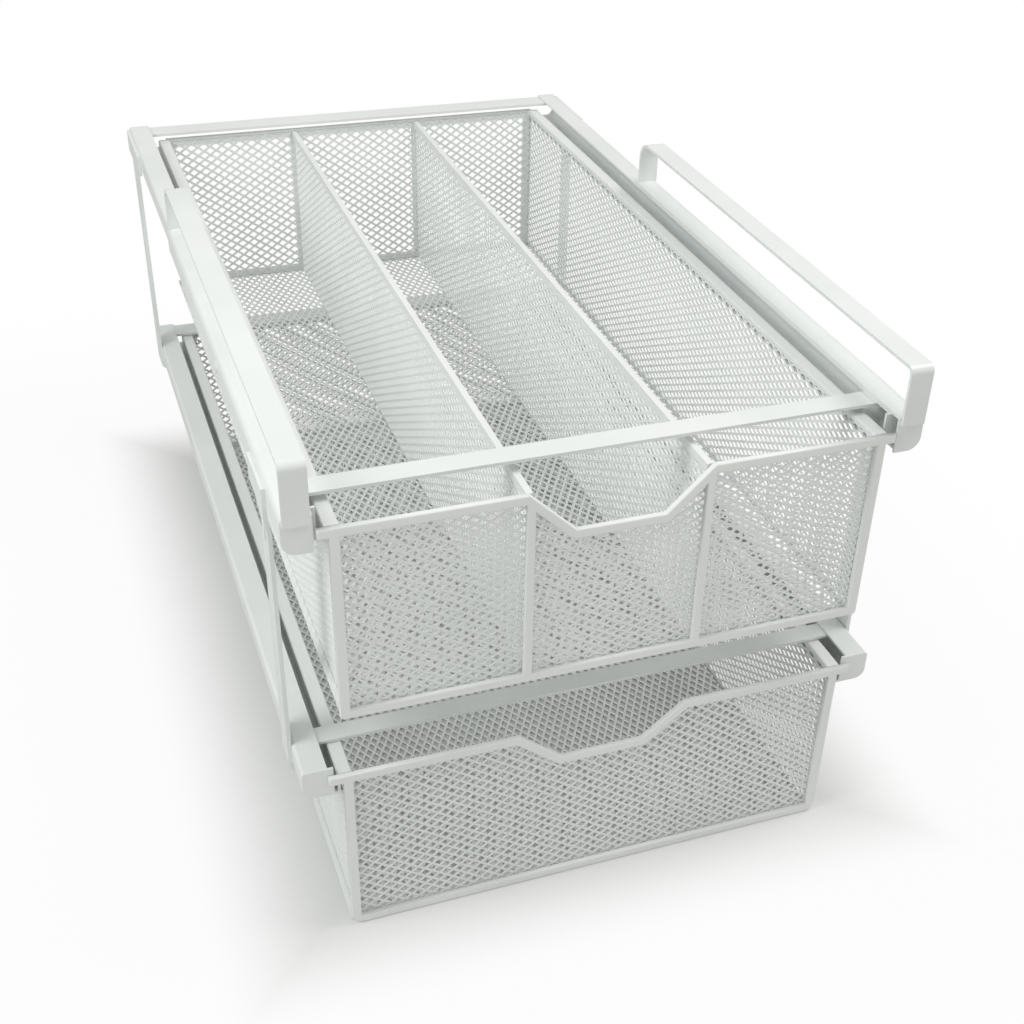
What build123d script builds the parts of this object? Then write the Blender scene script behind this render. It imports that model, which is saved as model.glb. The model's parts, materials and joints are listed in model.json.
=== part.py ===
from build123d import *
import math
import os

# Two-tier under shelf basket. Sizes are in millimetres.
# X is the width, the front faces -Y and +Z is up. The origin is on the surface that the
# object stands on, at the middle of its footprint.

# Steel frame
frame_width = 280            # over the outer faces of the side rails
rail_length = 460
rail_height = 15
rail_top_flange = 11.5
rail_bottom_flange = 17.9
rail_corner_radius = 5       # outer bottom corner
rail_edge_radius = 1.6       # outer top corner
rail_sheet = 1.2
rail_end_width = 14          # closed front end, which stops the basket's ears
tier_drop = 135              # top of the upper rails down to the top of the lower rails

crossbar_thickness = 1.5
upper_front_crossbar_width = 11.5
upper_front_crossbar_setback = 12.5
lower_front_crossbar_width = 10
lower_front_crossbar_setback = 20
rear_crossbar_width = 14

# Legs, hooked over the side rails
leg_width = 14
leg_thickness = 1.8
front_leg_setback = 21
rear_leg_setback = 18        # rear end of the rail to the rear edge of the leg
leg_head_height = 12
front_head_length = 30
rear_head_length = 50
leg_joggle_drop = 9          # height over which a leg bends in below the upper rail
foot_return = 9
foot_bend_radius = 4
leg_slot_width = 3
leg_slot_height = 7

# Hangers that hold the shelf board
hanger_length = 296
hanger_overhang = 8          # in front of the rail ends
hanger_strip_width = 11
hanger_strip = 1.6
shelf_gap = 23               # clear height for the shelf board
hanger_front_radius = 3.6
hanger_rear_radius = 10
hanger_lap = 3.7             # the strap's front end laps this far down the sleeve's end
sleeve_sheet = 1.2
sleeve_return = 10
rivet_head_diameter = 5
rivet_head_height = 1
rivet_shank_diameter = 3
rivet_setback = 135
rivet_depth = 5              # below the top of the rail

# Baskets
basket_inset = 20            # side mesh walls in from the outer faces of the rails
basket_length = 454
upper_basket_height = 96
lower_basket_height = 94
runner_overhang = 4.5
runner_sheet = 1.2
runner_lip = 5
upper_basket_drop = 6        # top of the rails down to the basket rim
lower_basket_drop = 3.2
upper_basket_stand = 4.7      # how far it stands out in front of the lower one
running_gap = 0.3

upper_front_inset = 17       # front frame in from the outer faces of the rails
lower_front_inset = 17.5
front_frame_depth = 3
upper_ear_inset = 12.5       # ends of the front rim in from the outer faces of the rails
lower_ear_inset = 11.2
rim_height = 5.2
corner_band = 6.5
bottom_band = 4.2
rear_frame_depth = 2.6
rear_band = 5
base_wire = 2.5
base_wire_rounding = 1.8
notch_width = 82
notch_base = 40
upper_notch_depth = 20.4
lower_notch_depth = 17.2
upper_corner_radius = 2
lower_corner_radius = 6

divider_offset = 40          # from the middle
divider_band = 5
divider_wire = 3
divider_wire_height = 4
divider_drop = 1.2           # below the rim

# Wire mesh: sheets with diamond openings
mesh_sheet = 0.8
mesh_strand = 3.4
mesh_edge = 4                # plain edge round the openings
smallest_opening = 60        # area
front_cell_width, front_cell_height = 36, 26
side_cell_width, side_cell_height = 56, 34
floor_cell_width, floor_cell_height = 60, 42

# Places that follow from the sizes above
lower_rail_top = lower_basket_height + lower_basket_drop
upper_rail_top = lower_rail_top + tier_drop
rail_front = -(rail_length - hanger_overhang) / 2
rail_rear = rail_front + rail_length
hanger_front = rail_front - hanger_overhang
hanger_rear = hanger_front + hanger_length
sleeve_front = hanger_front + hanger_strip
half_frame = frame_width / 2
half_basket = half_frame - basket_inset
basket_front = rail_front - running_gap
basket_rear = basket_front + basket_length
sides = {"left": -1, "right": 1}


def write(name, shape):
    shape.label = name
    export_step(shape, os.path.join("parts", name + ".step"))


def on_side(shape, side):
    return shape if side > 0 else mirror(shape, about=Plane.YZ)


def sheet_face(points):
    return make_face(Polyline(*points, close=True))


def along_y(face, start, length):
    """A face drawn with X across and Y up, stood upright and drawn out towards the rear."""
    upright = Plane.XZ.offset(-start) * face
    return extrude(upright, amount=-length)


def fillet_at(face, x, y, radius):
    corner = [v for v in face.vertices() if abs(v.X - x) < 1e-4 and abs(v.Y - y) < 1e-4]
    return fillet(corner, radius)


def block(x0, x1, y0, y1, z0, z1):
    size = (x1 - x0, y1 - y0, z1 - z0)
    centre = ((x0 + x1) / 2, (y0 + y1) / 2, (z0 + z1) / 2)
    return Pos(*centre) * Box(*size)


# Frame
def rail_section():
    """The right rail seen from the front, with its outer top corner at the origin."""
    t, h = rail_sheet, rail_height
    top, bottom = rail_top_flange, rail_bottom_flange
    face = sheet_face([(-top, 0), (0, 0), (0, -h), (-bottom, -h), (-bottom, t - h),
                       (-t, t - h), (-t, -t), (-top, -t)])
    face = fillet_at(face, 0, -h, rail_corner_radius)
    face = fillet_at(face, -t, t - h, rail_corner_radius - t)
    return fillet_at(face, 0, 0, rail_edge_radius)


def rail_end_section():
    h, wide = rail_height, rail_end_width
    face = sheet_face([(-wide, 0), (0, 0), (0, -h), (-wide, -h)])
    face = fillet_at(face, 0, -h, rail_corner_radius)
    return fillet_at(face, 0, 0, rail_edge_radius)


def rivet_hole(top):
    place = Location((half_frame, rail_front + rivet_setback, top - rivet_depth), (0, 90, 0))
    return place * Cylinder(rivet_shank_diameter / 2, 6 * rail_sheet)


def rail(side, top):
    body = along_y(Pos(half_frame, top) * rail_section(), rail_front, rail_length)
    end = along_y(Pos(half_frame, top) * rail_end_section(), rail_front, rail_sheet)
    return on_side(body + end - rivet_hole(top), side)


def crossbar(front, width, top):
    """A flat bar between the side rails, with its ends under their top flanges."""
    reach = half_frame - rail_sheet - running_gap
    high = top - rail_sheet
    return block(-reach, reach, front, front + width, high - crossbar_thickness, high)


def leg_strip_points(outset):
    """Outer line of a leg from its head to its foot, as (distance from the rail, height)."""
    head = upper_rail_top - rail_edge_radius
    bend = upper_rail_top - rail_height
    foot = lower_rail_top - rail_height
    return [(outset, head), (outset, bend), (0, bend - leg_joggle_drop), (0, foot),
            (-foot_return, foot)]


def leg(side, front, head_front, head_length, outset):
    """A flat strip outside the rails: a head on the upper rail and a foot under the lower one."""
    t = leg_thickness
    inner = [(half_frame + x, z) for x, z in leg_strip_points(outset)]
    outer = [(half_frame + x + t, z) for x, z in leg_strip_points(outset)[:3]]
    outer += [(half_frame + t, lower_rail_top - rail_height - t),
              (half_frame - foot_return, lower_rail_top - rail_height - t)]
    face = sheet_face(inner + outer[::-1])
    foot_z = lower_rail_top - rail_height
    face = fillet_at(face, half_frame + t, foot_z - t, foot_bend_radius + t)
    face = fillet_at(face, half_frame, foot_z, foot_bend_radius)
    strip = along_y(face, front, leg_width)
    head_top = upper_rail_top - rail_edge_radius
    head = block(half_frame + outset, half_frame + outset + t, head_front,
                 head_front + head_length, head_top - leg_head_height, head_top)
    slot_z = upper_rail_top - rail_height - leg_joggle_drop - leg_slot_height
    slot = block(half_frame - t, half_frame + 2 * t, front + (leg_width - leg_slot_width) / 2,
                 front + (leg_width + leg_slot_width) / 2, slot_z, slot_z + leg_slot_height)
    return on_side(strip + head - slot, side)


# Hangers
def sleeve_corners(face):
    """Rounds the sleeve's outer corners, which lie over those of the rail."""
    s, h = sleeve_sheet, rail_height
    face = fillet_at(face, s, -h - s, rail_corner_radius + s)
    return fillet_at(face, s, s, rail_edge_radius + s)


def sleeve(side):
    """Channel that wraps the front part of the upper rail, closed at its front end."""
    s, h = sleeve_sheet, rail_height
    top, back = rail_top_flange, sleeve_return
    face = sheet_face([(-top, s), (s, s), (s, -h - s), (-back, -h - s), (-back, -h), (0, -h),
                       (0, 0), (-top, 0)])
    face = fillet_at(sleeve_corners(face), 0, -h, rail_corner_radius)
    face = fillet_at(face, 0, 0, rail_edge_radius)
    end = sleeve_corners(sheet_face([(-top, s), (s, s), (s, -h - s), (-top, -h - s)]))
    place = Pos(half_frame, upper_rail_top)
    body = along_y(place * face, sleeve_front, hanger_rear - sleeve_front)
    body = body + along_y(place * end, sleeve_front, s)
    return on_side(body - rivet_hole(upper_rail_top), side)


def hanger_strap(side):
    """Flat strip bent down at both ends, which holds the shelf board from above."""
    t = hanger_strip
    base = upper_rail_top + sleeve_sheet
    top = base + shelf_gap + t
    foot = base - hanger_lap
    points = [(hanger_front, foot), (hanger_front, top), (hanger_rear, top), (hanger_rear, base),
              (hanger_rear - t, base), (hanger_rear - t, top - t), (hanger_front + t, top - t),
              (hanger_front + t, foot)]
    face = sheet_face(points)
    face = fillet_at(face, hanger_front, top, hanger_front_radius)
    face = fillet_at(face, hanger_front + t, top - t, hanger_front_radius - t)
    face = fillet_at(face, hanger_rear, top, hanger_rear_radius)
    face = fillet_at(face, hanger_rear - t, top - t, hanger_rear_radius - t)
    inner = half_frame + sleeve_sheet - rail_edge_radius / 2 - hanger_strip_width
    return on_side(extrude(Plane.YZ.offset(inner) * face, amount=hanger_strip_width), side)


def sleeve_rivets():
    """The two rivets that join each sleeve to its rail, one a side."""
    shank = rail_sheet + sleeve_sheet
    place = Location((half_frame - rail_sheet, rail_front + rivet_setback,
                      upper_rail_top - rivet_depth), (0, 90, 0))
    low = (Align.CENTER, Align.CENTER, Align.MIN)
    high = (Align.CENTER, Align.CENTER, Align.MAX)
    body = place * Cylinder(rivet_shank_diameter / 2, shank, align=low)
    head = place * Pos(0, 0, shank) * Cylinder(rivet_head_diameter / 2, rivet_head_height, align=low)
    tail = place * Cylinder(rivet_head_diameter / 2, rivet_head_height, align=high)
    right = body + head + tail
    return Compound(children=[right, mirror(right, about=Plane.YZ)])


# Mesh sheets
def diamond(x, y, width, height):
    return Polyline((x - width / 2, y), (x, y - height / 2), (x + width / 2, y),
                    (x, y + height / 2), close=True)


def mesh_face(outline, cell_width, cell_height):
    """A flat sheet with diamond openings in staggered rows, cut off along a plain edge."""
    sheet = sheet_face(outline)
    meshed = offset(sheet, -mesh_edge, kind=Kind.INTERSECTION)
    box = meshed.bounding_box()
    columns = round(box.size.X / cell_width)
    rows = round(box.size.Y / cell_height)
    pitch_x = box.size.X / columns
    pitch_y = box.size.Y / rows
    slope = math.hypot(pitch_x, pitch_y)
    hole_width = pitch_x - mesh_strand * slope / pitch_y
    hole_height = pitch_y - mesh_strand * slope / pitch_x
    openings = []
    for row in range(2 * rows + 1):
        shift = (1 - row % 2) / 2
        for column in range(columns + row % 2):
            x = box.min.X + (column + shift) * pitch_x
            y = box.min.Y + row * pitch_y / 2
            cell = make_face(diamond(x, y, hole_width, hole_height)) & meshed
            openings += [face.outer_wire() for face in cell.faces() if face.area > smallest_opening]
    return Face(sheet.face().outer_wire(), openings)


def plain_mesh(width, height, cell_width, cell_height):
    outline = [(0, 0), (width, 0), (width, height), (0, height)]
    return mesh_face(outline, cell_width, cell_height)


def notch_drop(x, notch):
    """How far the rim lies below its ends at a distance x from the middle of the front."""
    slope = notch / (notch_width - notch_base) * 2
    return max(0, min(notch, slope * (notch_width / 2 - x)))


def notched_mesh(width, height, notch):
    """The front sheet, with the finger notch cut down from its top edge."""
    middle = width / 2
    slant = [(notch_width / 2, height), (notch_base / 2, height - notch)]
    outline = [(0, 0), (width, 0), (width, height)]
    outline += [(middle + x, y) for x, y in slant]
    outline += [(middle - x, y) for x, y in slant[::-1]]
    outline += [(0, height)]
    return mesh_face(outline, front_cell_width, front_cell_height)


# Basket parts. Each takes the height of the rim top, z, and the height of the basket. The
# front ones take the depth of the finger notch as well.
def rim_line(z, lower, ear, notch):
    """Half of the front rim's top or bottom line, from the ear to the middle of the notch."""
    angle = math.atan2(notch, (notch_width - notch_base) / 2)
    drop = rim_height if lower else 0
    widen = drop * math.tan(angle / 2)
    return [(ear, z - drop), (notch_width / 2 + widen, z - drop),
            (notch_base / 2 + widen, z - notch - drop)]


def front_frame(z, height, right, ear, corner_radius, notch, posts):
    """Front rim with the finger notch and its ears, corner bands and bottom band."""
    top, bottom = rim_line(z, False, ear, notch), rim_line(z, True, ear, notch)
    half = top + [(-x, y) for x, y in top[::-1]]
    back = [(-x, y) for x, y in bottom] + bottom[::-1]
    rim = sheet_face(half + back)
    low = z - height
    outer = sheet_face([(-right, low), (right, low), (right, z - rim_height / 2),
                        (-right, z - rim_height / 2)])
    for x in (-right, right):
        outer = fillet_at(outer, x, low, corner_radius)
    inner_right = right - corner_band
    window = sheet_face([(-inner_right, low + bottom_band), (inner_right, low + bottom_band),
                         (inner_right, z), (-inner_right, z)])
    face = outer - window + rim
    for x in posts:
        high = z - rim_height / 2 - notch_drop(abs(x), notch)
        bar = sheet_face([(x - divider_band / 2, low + bottom_band / 2),
                          (x + divider_band / 2, low + bottom_band / 2),
                          (x + divider_band / 2, high), (x - divider_band / 2, high)])
        face = face + bar
    return along_y(face, basket_front - front_frame_depth, front_frame_depth)


def rear_frame(z, height, posts):
    """Flat bands round the rear mesh sheet."""
    low = z - height
    outer = sheet_face([(-half_basket, low), (half_basket, low), (half_basket, z), (-half_basket, z)])
    inner = sheet_face([(-half_basket + rear_band, low + bottom_band),
                        (half_basket - rear_band, low + bottom_band),
                        (half_basket - rear_band, z - rim_height), (-half_basket + rear_band, z - rim_height)])
    face = outer - inner
    for x in posts:
        face = face + sheet_face([(x - divider_band / 2, low), (x + divider_band / 2, low),
                                  (x + divider_band / 2, z), (x - divider_band / 2, z)])
    return along_y(face, basket_rear, rear_frame_depth)


def runner(side, z, rail_top):
    """Folded side rim: a lip inside the mesh, a flat top and a skirt that rides in the rail."""
    t = runner_sheet
    inner = half_basket - mesh_sheet - t
    outer = half_basket + runner_overhang
    ride = rail_top - rail_height + rail_sheet + running_gap
    fold = along_y(sheet_face([(inner, z), (outer, z), (outer, ride), (outer - t, ride),
                               (outer - t, z - t), (inner, z - t)]), basket_front, basket_length)
    lip = block(inner, inner + t, basket_front + mesh_sheet, basket_rear - mesh_sheet,
                z - runner_lip, z - t)
    return on_side(fold + lip, side)


def base_wire_bar(side, z, height):
    """Bar along the foot of a side wall, rounded on its outer lower edge."""
    low, outer = z - height, half_basket + base_wire
    face = sheet_face([(half_basket, low), (outer, low), (outer, low + base_wire),
                       (half_basket, low + base_wire)])
    face = fillet_at(face, outer, low, base_wire_rounding)
    return on_side(along_y(face, basket_front, basket_length), side)


def front_mesh(z, height, notch):
    face = notched_mesh(2 * half_basket, height - runner_sheet, notch)
    return along_y(Pos(-half_basket, z - height) * face, basket_front, mesh_sheet)


def rear_mesh(z, height):
    face = plain_mesh(2 * half_basket, height - runner_sheet, front_cell_width, front_cell_height)
    return along_y(Pos(-half_basket, z - height) * face, basket_rear - mesh_sheet, mesh_sheet)


def side_mesh(side, z, height):
    length = basket_length - 2 * mesh_sheet
    face = plain_mesh(length, height - runner_sheet, side_cell_width, side_cell_height)
    place = Plane.YZ.offset(half_basket - mesh_sheet)
    sheet = extrude(place * Pos(basket_front + mesh_sheet, z - height) * face, amount=mesh_sheet)
    return on_side(sheet, side)


def floor_mesh(z, height):
    width, length = 2 * (half_basket - mesh_sheet), basket_length - 2 * mesh_sheet
    face = plain_mesh(width, length, floor_cell_height, floor_cell_width)
    place = Pos(-width / 2, basket_front + mesh_sheet, z - height)
    return extrude(place * face, amount=mesh_sheet)


def divider_mesh(x, z, height):
    length = basket_length - 2 * mesh_sheet
    tall = height - mesh_sheet - divider_drop - divider_wire_height
    face = plain_mesh(length, tall, side_cell_width, side_cell_height)
    place = Plane.YZ.offset(x - mesh_sheet / 2)
    return extrude(place * Pos(basket_front + mesh_sheet, z - height + mesh_sheet) * face,
                   amount=mesh_sheet)


def divider_top_wire(x, z):
    high = z - divider_drop
    return block(x - divider_wire / 2, x + divider_wire / 2, basket_front + mesh_sheet,
                 basket_rear - mesh_sheet, high - divider_wire_height, high)


def write_basket(tier, rail_top, drop, stand, height, front_inset, ear_inset, corner_radius,
                 notch, dividers):
    z = rail_top - drop
    posts = list(dividers.values())
    parts = {
        "front_frame": front_frame(z, height, half_frame - front_inset, half_frame - ear_inset,
                                   corner_radius, notch, posts),
        "rear_frame": rear_frame(z, height, posts),
        "front_mesh": front_mesh(z, height, notch),
        "rear_mesh": rear_mesh(z, height),
        "floor_mesh": floor_mesh(z, height)}
    for name, side in sides.items():
        parts[f"{name}_runner"] = runner(side, z, rail_top)
        parts[f"{name}_base_wire"] = base_wire_bar(side, z, height)
        parts[f"{name}_mesh"] = side_mesh(side, z, height)
    forward = Pos(0, -stand, 0)
    for name, part in parts.items():
        write(f"{tier}_basket_{name}", forward * part)
    for name, x in dividers.items():
        write(f"{name}_divider_mesh", forward * divider_mesh(x, z, height))
        write(f"{name}_divider_top_wire", forward * divider_top_wire(x, z))


def write_frame():
    tiers = {"upper": (upper_rail_top, upper_front_crossbar_setback, upper_front_crossbar_width),
             "lower": (lower_rail_top, lower_front_crossbar_setback, lower_front_crossbar_width)}
    for tier, (top, setback, width) in tiers.items():
        for name, side in sides.items():
            write(f"{tier}_{name}_rail", rail(side, top))
        write(f"{tier}_front_crossbar", crossbar(rail_front + setback, width, top))
        write(f"{tier}_rear_crossbar",
              crossbar(rail_rear - rear_crossbar_width, rear_crossbar_width, top))
    for name, side in sides.items():
        front = rail_front + front_leg_setback
        rear = rail_rear - rear_leg_setback - leg_width
        write(f"front_{name}_leg", leg(side, front, front, front_head_length, sleeve_sheet))
        write(f"rear_{name}_leg", leg(side, rear, rail_rear - rear_head_length, rear_head_length, 0))
        write(f"{name}_hanger_sleeve", sleeve(side))
        write(f"{name}_hanger_strap", hanger_strap(side))
    write("sleeve_rivets", sleeve_rivets())


os.makedirs("parts", exist_ok=True)
write_frame()
write_basket("upper", upper_rail_top, upper_basket_drop, upper_basket_stand, upper_basket_height,
             upper_front_inset, upper_ear_inset, upper_corner_radius, upper_notch_depth,
             {"left": -divider_offset, "right": divider_offset})
write_basket("lower", lower_rail_top, lower_basket_drop, 0, lower_basket_height,
             lower_front_inset, lower_ear_inset, lower_corner_radius, lower_notch_depth, {})
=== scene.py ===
import json
import math

import bmesh
import bpy
import numpy as np
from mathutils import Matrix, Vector

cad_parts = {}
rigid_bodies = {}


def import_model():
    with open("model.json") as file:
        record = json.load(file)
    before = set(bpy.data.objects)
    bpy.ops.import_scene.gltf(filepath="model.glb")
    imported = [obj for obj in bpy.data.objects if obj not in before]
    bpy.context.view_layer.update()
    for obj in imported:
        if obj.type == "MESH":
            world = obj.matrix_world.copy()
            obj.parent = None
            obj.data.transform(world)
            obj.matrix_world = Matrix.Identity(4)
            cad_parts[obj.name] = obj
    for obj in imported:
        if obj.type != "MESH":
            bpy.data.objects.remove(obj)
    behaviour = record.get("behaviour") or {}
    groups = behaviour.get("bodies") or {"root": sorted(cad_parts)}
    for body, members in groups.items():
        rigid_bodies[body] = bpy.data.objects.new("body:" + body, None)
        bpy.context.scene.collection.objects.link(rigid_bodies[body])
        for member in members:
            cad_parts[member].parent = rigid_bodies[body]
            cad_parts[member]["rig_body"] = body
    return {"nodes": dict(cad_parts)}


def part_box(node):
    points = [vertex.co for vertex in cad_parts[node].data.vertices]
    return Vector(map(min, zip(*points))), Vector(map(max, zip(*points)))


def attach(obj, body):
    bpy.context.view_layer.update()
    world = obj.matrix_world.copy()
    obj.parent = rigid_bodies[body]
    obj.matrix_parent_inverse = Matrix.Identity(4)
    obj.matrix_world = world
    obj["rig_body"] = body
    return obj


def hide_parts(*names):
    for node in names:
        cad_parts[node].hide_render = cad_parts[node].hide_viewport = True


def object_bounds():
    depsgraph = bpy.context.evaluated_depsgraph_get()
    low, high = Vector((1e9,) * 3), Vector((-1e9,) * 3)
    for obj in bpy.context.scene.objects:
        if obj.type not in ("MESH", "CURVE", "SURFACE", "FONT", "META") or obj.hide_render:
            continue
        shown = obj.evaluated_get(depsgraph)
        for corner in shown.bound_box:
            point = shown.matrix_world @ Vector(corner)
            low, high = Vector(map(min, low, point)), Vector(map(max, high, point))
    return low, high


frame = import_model()
cad_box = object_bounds()

# All lengths are in metres. The fine mesh is expanded metal: diamonds in staggered rows.
# Each sheet has its cell's width and height and the width of its strands.
SHEETS = {
    "upper_front": (0.0070, 0.0041, 0.0010),
    "lower_front": (0.0068, 0.0048, 0.00115),
    "rear": (0.0074, 0.0052, 0.00135),
    "side": (0.0082, 0.0044, 0.00115),
    "floor": (0.0084, 0.0048, 0.0013),
}
STRAND_THICKNESS = 0.0005
STRAND_TILT = 0.00015         # how far a strand's edges stand out of the sheet

# The finger notch, as the front frames have it.
NOTCH_HALF_TOP = 0.041
NOTCH_HALF_BASE = 0.020
NOTCH_DEPTHS = {"upper": 0.0204, "lower": 0.0172}

# The bands of the front frames, with soft edges, and half the frames' width.
RIM_BAND = 0.0043
CORNER_BAND = 0.0046
BOTTOM_BAND = 0.0040
POST_BAND = 0.0038
BAND_EDGE = 0.0007
BAND_EDGE_STEPS = 2
WELD_DISTANCE = 0.000001
FRONT_HALVES = {"upper": 0.1230, "lower": 0.1225}
FRONT_CORNERS = {"upper": 0.002, "lower": 0.006}
CORNER_STEPS = 6
POSTS = {"upper": (-0.040, 0.040), "lower": ()}

# The folded side rims.
FOLD_SHEET = 0.0012
FOLD_EDGE = 0.0005
FOLD_LIP = 0.0026

# The powder coats. Each has its two tints, its range of roughness and the depth of its grain.
COATS = {
    "frame_coat": ((0.82, 0.85, 0.84), (0.875, 0.90, 0.89), (0.30, 0.42), 0.00006),
    "band_coat": ((0.84, 0.86, 0.85), (0.89, 0.91, 0.90), (0.34, 0.46), 0.00006),
    "mesh_coat": ((0.84, 0.865, 0.855), (0.89, 0.91, 0.90), (0.38, 0.5), 0.00003),
}
CLOUD_SCALE = 14
GLOSS_SCALE = 55
GRAIN_SCALE = 900
GRAIN_STRENGTH = 0.25

# The part of a noise that goes from one tint, or one roughness, to the other.
TINT_RANGE = (0.35, 0.65)
GLOSS_RANGE = (0.3, 0.7)

# The floor, a little below the object. To the camera it goes from its own lit paint, at 0, to
# white, at 1. Both fades run over distances from the edge of the footprint. Under the footprint
# no white is added, so the floor shows darker there: painted shade under the object.
FLOOR_REACH = 6
FLOOR_GAP = 0.0004
FLOOR_TINTS = ((0.70, 0.705, 0.70), (0.74, 0.74, 0.735))
FLOOR_CLOUD_SCALE = 3
NEAR_WHITE = 0.93
FOOTPRINT_SHADE_FADE = (-0.03, 0.05)
FAR_FADE = (0.05, 0.3)

# The lamps: place, target, power in watts and colour.
LAMP_SIZE = 0.6
LAMPS = {
    "left_key": ((-0.75, -0.3, 0.85), (0, -0.1, 0.2), 3.8, (0.96, 1, 0.99)),
    "right_key": ((0.65, -0.25, 1.2), (0.05, -0.1, 0.2), 4.9, (1, 1, 0.98)),
}
WORLD_COLOUR = (1, 0.99, 0.96, 1)
WORLD_STRENGTH = 0.56
WHITE = (1, 1, 1, 1)

# The photograph's camera.
CAMERA_PLACE = (-0.213, -0.7007, 0.5396)
CAMERA_TURN = (55.471, -2.038, -20.372)
CAMERA_LENS = 51.785
CAMERA_SHIFT = (-0.0486, 0.0431)


# Materials
def new_material(name):
    material = bpy.data.materials.new(name)
    material.use_nodes = True
    nodes, links = material.node_tree.nodes, material.node_tree.links
    shader = nodes["Principled BSDF"]
    return material, nodes, links, shader


def noise(nodes, links, coordinates, scale, detail):
    texture = nodes.new("ShaderNodeTexNoise")
    texture.inputs["Scale"].default_value = scale
    texture.inputs["Detail"].default_value = detail
    links.new(coordinates.outputs["Object"], texture.inputs["Vector"])
    return texture


def ramp(nodes, links, source, low, high):
    mapped = nodes.new("ShaderNodeValToRGB")
    mapped.color_ramp.elements[0].position = TINT_RANGE[0]
    mapped.color_ramp.elements[1].position = TINT_RANGE[1]
    mapped.color_ramp.elements[0].color = (*low, 1)
    mapped.color_ramp.elements[1].color = (*high, 1)
    links.new(source, mapped.inputs["Fac"])
    return mapped


def spread(nodes, links, source, low, high):
    mapped = nodes.new("ShaderNodeMapRange")
    mapped.inputs["From Min"].default_value = GLOSS_RANGE[0]
    mapped.inputs["From Max"].default_value = GLOSS_RANGE[1]
    mapped.inputs["To Min"].default_value = low
    mapped.inputs["To Max"].default_value = high
    links.new(source, mapped.inputs["Value"])
    return mapped


def powder_coat(name, low, high, roughness, grain_depth):
    """Satin powder coat: faint clouding, a slightly uneven gloss and an orange-peel grain."""
    material, nodes, links, shader = new_material(name)
    place = nodes.new("ShaderNodeTexCoord")
    cloud = noise(nodes, links, place, CLOUD_SCALE, detail=3)
    gloss = noise(nodes, links, place, GLOSS_SCALE, detail=2)
    grain = noise(nodes, links, place, GRAIN_SCALE, detail=2)
    tint = ramp(nodes, links, cloud.outputs["Fac"], low, high)
    links.new(tint.outputs["Color"], shader.inputs["Base Color"])
    links.new(spread(nodes, links, gloss.outputs["Fac"], *roughness).outputs["Result"],
              shader.inputs["Roughness"])
    bump = nodes.new("ShaderNodeBump")
    bump.inputs["Strength"].default_value = GRAIN_STRENGTH
    bump.inputs["Distance"].default_value = grain_depth
    links.new(grain.outputs["Fac"], bump.inputs["Height"])
    links.new(bump.outputs["Normal"], shader.inputs["Normal"])
    shader.inputs["Specular IOR Level"].default_value = 0.5
    shader.inputs["Coat Weight"].default_value = 0.15
    shader.inputs["Coat Roughness"].default_value = 0.25
    return material


def dress(piece, material):
    piece.data.materials.clear()
    piece.data.materials.append(material)


def add_piece(name, mesh, material, body, node):
    """A piece that rides on a body and stands in for a CAD node."""
    piece = bpy.data.objects.new(name, mesh)
    bpy.context.scene.collection.objects.link(piece)
    dress(piece, material)
    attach(piece, body)
    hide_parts(node)


frame_coat, band_coat, mesh_coat = [powder_coat(name, *look) for name, look in COATS.items()]


# Fine mesh panels
class Panel:
    """A flat sheet's own axes: u across, v up, and n out of the sheet."""

    def __init__(self, origin, u, v, n, width, height):
        self.origin, self.u, self.v, self.n = (np.array(a, float) for a in (origin, u, v, n))
        self.width, self.height = width, height


def panel_of(node):
    """The panel that a flat CAD node fills, with v up or, on a floor, towards the rear."""
    low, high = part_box(node)
    size = high - low
    middle = (low + high) / 2
    thin = min(range(3), key=lambda axis: size[axis])
    if thin == 0:
        return Panel((middle.x, low.y, low.z), (0, 1, 0), (0, 0, 1), (1, 0, 0), size.y, size.z)
    if thin == 1:
        return Panel((low.x, middle.y, low.z), (1, 0, 0), (0, 0, 1), (0, -1, 0), size.x, size.z)
    return Panel((low.x, low.y, middle.z), (0, 1, 0), (1, 0, 0), (0, 0, -1), size.y, size.x)


def rim_drop(x, notch):
    """How far the rim lies below its ends at a distance x from the middle of the front."""
    share = (NOTCH_HALF_TOP - abs(x)) / (NOTCH_HALF_TOP - NOTCH_HALF_BASE)
    return notch * min(1, max(0, share))


def band_widening(notch):
    """How much wider the notch is along the lower edge of the rim's band."""
    return RIM_BAND * math.tan(math.atan2(notch, NOTCH_HALF_TOP - NOTCH_HALF_BASE) / 2)


def rim_under(x, notch):
    """How far the lower edge of the rim's band lies below the rim's ends."""
    return RIM_BAND + rim_drop(abs(x) - band_widening(notch), notch)


def front_outline(tier, ear, top, foot):
    """The outline of a front frame, as points across and up."""
    notch, half, corner = NOTCH_DEPTHS[tier], FRONT_HALVES[tier], FRONT_CORNERS[tier]
    side = [(NOTCH_HALF_BASE, top - notch), (NOTCH_HALF_TOP, top), (ear, top),
            (ear, top - RIM_BAND), (half, top - RIM_BAND)]
    for step in range(CORNER_STEPS + 1):
        turn = math.radians(90 * step / CORNER_STEPS)
        side.append((half - corner * (1 - math.cos(turn)), foot + corner * (1 - math.sin(turn))))
    return side + [(-x, z) for x, z in side[::-1]]


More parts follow.
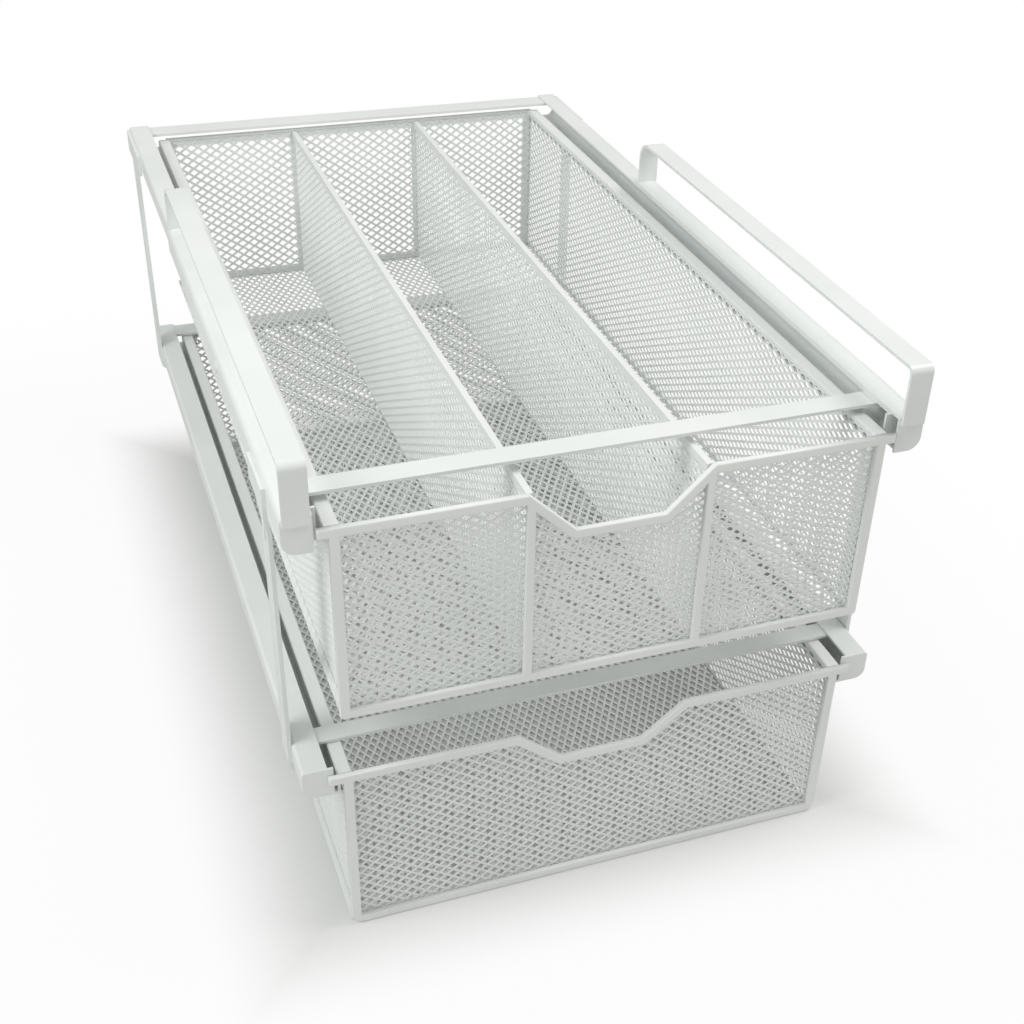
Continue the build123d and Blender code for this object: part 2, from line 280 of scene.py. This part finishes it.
def front_windows(tier, top, foot):
    """The openings between the bands of a front frame."""
    notch, edge = NOTCH_DEPTHS[tier], FRONT_HALVES[tier] - CORNER_BAND
    sides = [-edge]
    for post in POSTS[tier]:
        sides += [post - POST_BAND / 2, post + POST_BAND / 2]
    sides.append(edge)
    inner = NOTCH_HALF_BASE + band_widening(notch)
    outer = NOTCH_HALF_TOP + band_widening(notch)
    windows = []
    for left, right in zip(sides[::2], sides[1::2]):
        turns = [x for x in (-outer, -inner, inner, outer) if left < x < right]
        upper = [(x, top - rim_under(x, notch)) for x in (left, *turns, right)]
        windows.append([(right, foot + BOTTOM_BAND), (left, foot + BOTTOM_BAND), *upper])
    return windows


def front_bands(name, node, body, tier):
    """A front frame: rim with the finger notch, corner bands, bottom band and posts."""
    low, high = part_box(node)
    curve = bpy.data.curves.new(name, "CURVE")
    curve.dimensions = "2D"
    curve.fill_mode = "BOTH"
    curve.extrude = (high.y - low.y) / 2 - BAND_EDGE
    curve.bevel_depth = BAND_EDGE
    curve.bevel_resolution = BAND_EDGE_STEPS
    curve.offset = -BAND_EDGE
    for loop in (front_outline(tier, high.x, high.z, low.z), *front_windows(tier, high.z, low.z)):
        spline = curve.splines.new("POLY")
        spline.points.add(len(loop) - 1)
        for point, (x, z) in zip(spline.points, loop):
            point.co = (x, z, 0, 1)
        spline.use_cyclic_u = True
    drawn = bpy.data.objects.new(name, curve)
    bpy.context.scene.collection.objects.link(drawn)
    bpy.context.view_layer.update()
    shaped = drawn.evaluated_get(bpy.context.evaluated_depsgraph_get())
    mesh = bpy.data.meshes.new_from_object(shaped)
    bpy.data.objects.remove(drawn)
    middle = (low.y + high.y) / 2
    for vertex in mesh.vertices:
        x, z, depth = vertex.co
        vertex.co = (x, middle - depth, z)
    weld = bmesh.new()
    weld.from_mesh(mesh)
    bmesh.ops.remove_doubles(weld, verts=weld.verts, dist=WELD_DISTANCE)
    bmesh.ops.recalc_face_normals(weld, faces=weld.faces)
    weld.to_mesh(mesh)
    weld.free()
    add_piece(name, mesh, band_coat, body, node)


def expanded_metal(name, node, body, sheet, notch=0):
    """Diamond openings on a half-cell grid (i, j), those with i + j even being openings."""
    panel = panel_of(node)
    cell_width, cell_height, strand = SHEETS[sheet]
    columns = round(panel.width / cell_width)
    rows = round(panel.height / cell_height)
    pitch_u, pitch_v = panel.width / columns, panel.height / rows
    slope = math.hypot(pitch_u, pitch_v)
    half_u = (pitch_u - strand * slope / pitch_v) / 2
    half_v = (pitch_v - strand * slope / pitch_u) / 2
    middle = panel.width / 2
    kept = {}
    for i in range(2 * columns + 1):
        for j in range(2 * rows + 1):
            if (i + j) % 2:
                continue
            u, v = i * pitch_u / 2, j * pitch_v / 2
            # the sheet ends behind the rim's band
            if notch and v > panel.height - rim_drop(u - middle, notch) - RIM_BAND / 2:
                continue
            kept[i, j] = len(kept)
    count = len(kept)
    centres = np.array([(i * pitch_u / 2, j * pitch_v / 2) for i, j in kept])
    # the four corners of an opening: right, top, left, bottom
    corner_u = np.array([half_u, 0, -half_u, 0])
    corner_v = np.array([0, half_v, 0, -half_v])
    lift = np.array([0, -STRAND_TILT, 0, STRAND_TILT])
    u = np.clip(centres[:, :1] + corner_u, 0, panel.width)
    v = np.clip(centres[:, 1:] + corner_v, 0, panel.height)
    layers = []
    for side in (1, -1):
        n = lift + side * STRAND_THICKNESS / 2
        points = (panel.origin + u[..., None] * panel.u + v[..., None] * panel.v
                  + np.broadcast_to(n, u.shape)[..., None] * panel.n)
        layers.append(points.reshape(-1, 3))
    points = np.concatenate(layers)
    back = 4 * count
    right, top, left, bottom = range(4)
    faces = []

    def both_sides(a, b, c, d):
        faces.append((a, b, c, d))
        faces.append((d + back, c + back, b + back, a + back))

    for (i, j), index in kept.items():
        a = 4 * index
        above = kept.get((i + 1, j + 1))
        below = kept.get((i + 1, j - 1))
        across = kept.get((i + 2, j))
        if above is not None:
            b = 4 * above
            both_sides(a + right, b + bottom, b + left, a + top)
        if below is not None:
            c = 4 * below
            both_sides(a + bottom, c + left, c + top, a + right)
        if across is not None and above is not None and below is not None:
            both_sides(a + right, 4 * below + top, 4 * across + left, 4 * above + bottom)
        for k in range(4):
            p, q = a + k, a + (k + 1) % 4
            faces.append((q, p, p + back, q + back))
    mesh = bpy.data.meshes.new(name)
    mesh.from_pydata(points.tolist(), [], faces)
    mesh.validate()
    add_piece(name, mesh, mesh_coat, body, node)


def folded_rim(name, node, body):
    """A side rim: a flat top with soft edges, a short inner lip and a skirt on its outer side."""
    low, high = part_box(node)
    inner, outward = (low.x, 1) if low.x > 0 else (high.x, -1)
    width, top, foot = high.x - low.x, high.z, low.z
    profile = [(FOLD_SHEET, top - FOLD_SHEET), (FOLD_SHEET, top - FOLD_LIP),
               (0, top - FOLD_LIP), (0, top - FOLD_EDGE), (FOLD_EDGE, top),
               (width - FOLD_EDGE, top), (width, top - FOLD_EDGE), (width, foot),
               (width - FOLD_SHEET, foot), (width - FOLD_SHEET, top - FOLD_SHEET)]
    count = len(profile)
    points = [(inner + outward * across, y, z) for y in (low.y, high.y) for across, z in profile]
    faces = [tuple(range(count)), tuple(range(2 * count - 1, count - 1, -1))]
    faces += [(k, k + count, (k + 1) % count + count, (k + 1) % count) for k in range(count)]
    mesh = bpy.data.meshes.new(name)
    mesh.from_pydata(points, [], faces)
    shell = bmesh.new()
    shell.from_mesh(mesh)
    bmesh.ops.recalc_face_normals(shell, faces=shell.faces)
    shell.to_mesh(mesh)
    shell.free()
    add_piece(name, mesh, band_coat, body, node)


for piece in frame["nodes"].values():
    dress(piece, frame_coat if piece["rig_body"] == "frame" else band_coat)

for tier in ("upper", "lower"):
    basket = f"{tier}_basket"
    for side in ("front", "rear", "left", "right", "floor"):
        notch = NOTCH_DEPTHS[tier] if side == "front" else 0
        sheet = {"front": f"{tier}_front", "left": "side", "right": "side"}.get(side, side)
        expanded_metal(f"{basket}_{side}_wire", f"{basket}_{side}_mesh", basket, sheet, notch)
    front_bands(f"{basket}_front_bands", f"{basket}_front_frame", basket, tier)
    for side in ("left", "right"):
        folded_rim(f"{basket}_{side}_rim", f"{basket}_{side}_runner", basket)
for side in ("left", "right"):
    expanded_metal(f"{side}_divider_wire", f"{side}_divider_mesh", "upper_basket", "side")


# Floor, light and camera
def math_node(nodes, links, operation, first, second):
    """A math node; each input is a socket or a number."""
    node = nodes.new("ShaderNodeMath")
    node.operation = operation
    for socket, value in zip(node.inputs, (first, second)):
        if isinstance(value, (int, float)):
            socket.default_value = value
        else:
            links.new(value, socket)
    return node.outputs["Value"]


def smooth_range(nodes, links, source, distances, high):
    mapped = nodes.new("ShaderNodeMapRange")
    mapped.interpolation_type = "SMOOTHSTEP"
    mapped.inputs["From Min"].default_value = distances[0]
    mapped.inputs["From Max"].default_value = distances[1]
    mapped.inputs["To Min"].default_value = 0
    mapped.inputs["To Max"].default_value = high
    links.new(source, mapped.inputs["Value"])
    return mapped.outputs["Result"]


def floor_paint():
    """Pale matt paint. To the camera it fades to the white background away from the object; under
    the object it stays darker, as painted shade.
    """
    material, nodes, links, shader = new_material("floor_paint")
    place = nodes.new("ShaderNodeTexCoord")
    cloud = noise(nodes, links, place, FLOOR_CLOUD_SCALE, detail=2)
    tint = ramp(nodes, links, cloud.outputs["Fac"], *FLOOR_TINTS)
    links.new(tint.outputs["Color"], shader.inputs["Base Color"])
    shader.inputs["Roughness"].default_value = 0.9
    split = nodes.new("ShaderNodeSeparateXYZ")
    links.new(place.outputs["Object"], split.inputs["Vector"])
    half_x, half_y = cad_box[1].x, cad_box[1].y
    beside = math_node(nodes, links, "ABSOLUTE", split.outputs["X"], 0)
    beside = math_node(nodes, links, "SUBTRACT", beside, half_x)
    ahead = math_node(nodes, links, "ABSOLUTE", split.outputs["Y"], 0)
    ahead = math_node(nodes, links, "SUBTRACT", ahead, half_y)
    away = math_node(nodes, links, "MAXIMUM", beside, ahead)
    # inside the footprint the white share is nil, which paints shade on the floor under the object
    near = smooth_range(nodes, links, away, FOOTPRINT_SHADE_FADE, NEAR_WHITE)
    far = smooth_range(nodes, links, away, FAR_FADE, 1 - NEAR_WHITE)
    share = math_node(nodes, links, "ADD", near, far)
    path = nodes.new("ShaderNodeLightPath")
    share = math_node(nodes, links, "MULTIPLY", share, path.outputs["Is Camera Ray"])
    white = nodes.new("ShaderNodeEmission")
    white.inputs["Color"].default_value = WHITE
    white.inputs["Strength"].default_value = 1
    mix = nodes.new("ShaderNodeMixShader")
    links.new(share, mix.inputs["Fac"])
    links.new(shader.outputs["BSDF"], mix.inputs[1])
    links.new(white.outputs["Emission"], mix.inputs[2])
    links.new(mix.outputs["Shader"], nodes["Material Output"].inputs["Surface"])
    return material


def make_floor():
    mesh = bpy.data.meshes.new("floor")
    corners = ((-1, -1), (1, -1), (1, 1), (-1, 1))
    mesh.from_pydata([(x * FLOOR_REACH, y * FLOOR_REACH, 0) for x, y in corners], [], [(0, 1, 2, 3)])
    floor = bpy.data.objects.new("floor", mesh)
    floor.location.z = cad_box[0].z - FLOOR_GAP
    bpy.context.scene.collection.objects.link(floor)
    dress(floor, floor_paint())


def area_light(name, place, target, power, colour):
    data = bpy.data.lights.new(name, "AREA")
    data.shape = "DISK"
    data.size = LAMP_SIZE
    data.energy = power
    data.color = colour
    light = bpy.data.objects.new(name, data)
    light.location = place
    aim = Vector(target) - Vector(place)
    light.rotation_euler = aim.to_track_quat("-Z", "Y").to_euler()
    bpy.context.scene.collection.objects.link(light)


def make_world():
    world = bpy.data.worlds.new("studio")
    world.use_nodes = True
    nodes, links = world.node_tree.nodes, world.node_tree.links
    nodes.clear()
    path = nodes.new("ShaderNodeLightPath")
    seen = nodes.new("ShaderNodeBackground")
    seen.inputs["Color"].default_value = WHITE
    seen.inputs["Strength"].default_value = 1
    lit = nodes.new("ShaderNodeBackground")
    lit.inputs["Color"].default_value = WORLD_COLOUR
    lit.inputs["Strength"].default_value = WORLD_STRENGTH
    mix = nodes.new("ShaderNodeMixShader")
    output = nodes.new("ShaderNodeOutputWorld")
    links.new(path.outputs["Is Camera Ray"], mix.inputs["Fac"])
    links.new(lit.outputs["Background"], mix.inputs[1])
    links.new(seen.outputs["Background"], mix.inputs[2])
    links.new(mix.outputs["Shader"], output.inputs["Surface"])
    bpy.context.scene.world = world


def make_camera():
    data = bpy.data.cameras.new("camera")
    data.lens = CAMERA_LENS
    data.sensor_width = 36
    data.shift_x, data.shift_y = CAMERA_SHIFT
    data.clip_start, data.clip_end = 0.01, 50
    camera = bpy.data.objects.new("camera", data)
    camera.location = CAMERA_PLACE
    camera.rotation_euler = [math.radians(angle) for angle in CAMERA_TURN]
    bpy.context.scene.collection.objects.link(camera)
    bpy.context.scene.camera = camera


make_floor()
make_world()
make_camera()
for name, lamp in LAMPS.items():
    area_light(name, *lamp)

bpy.context.scene.view_settings.view_transform = "Standard"
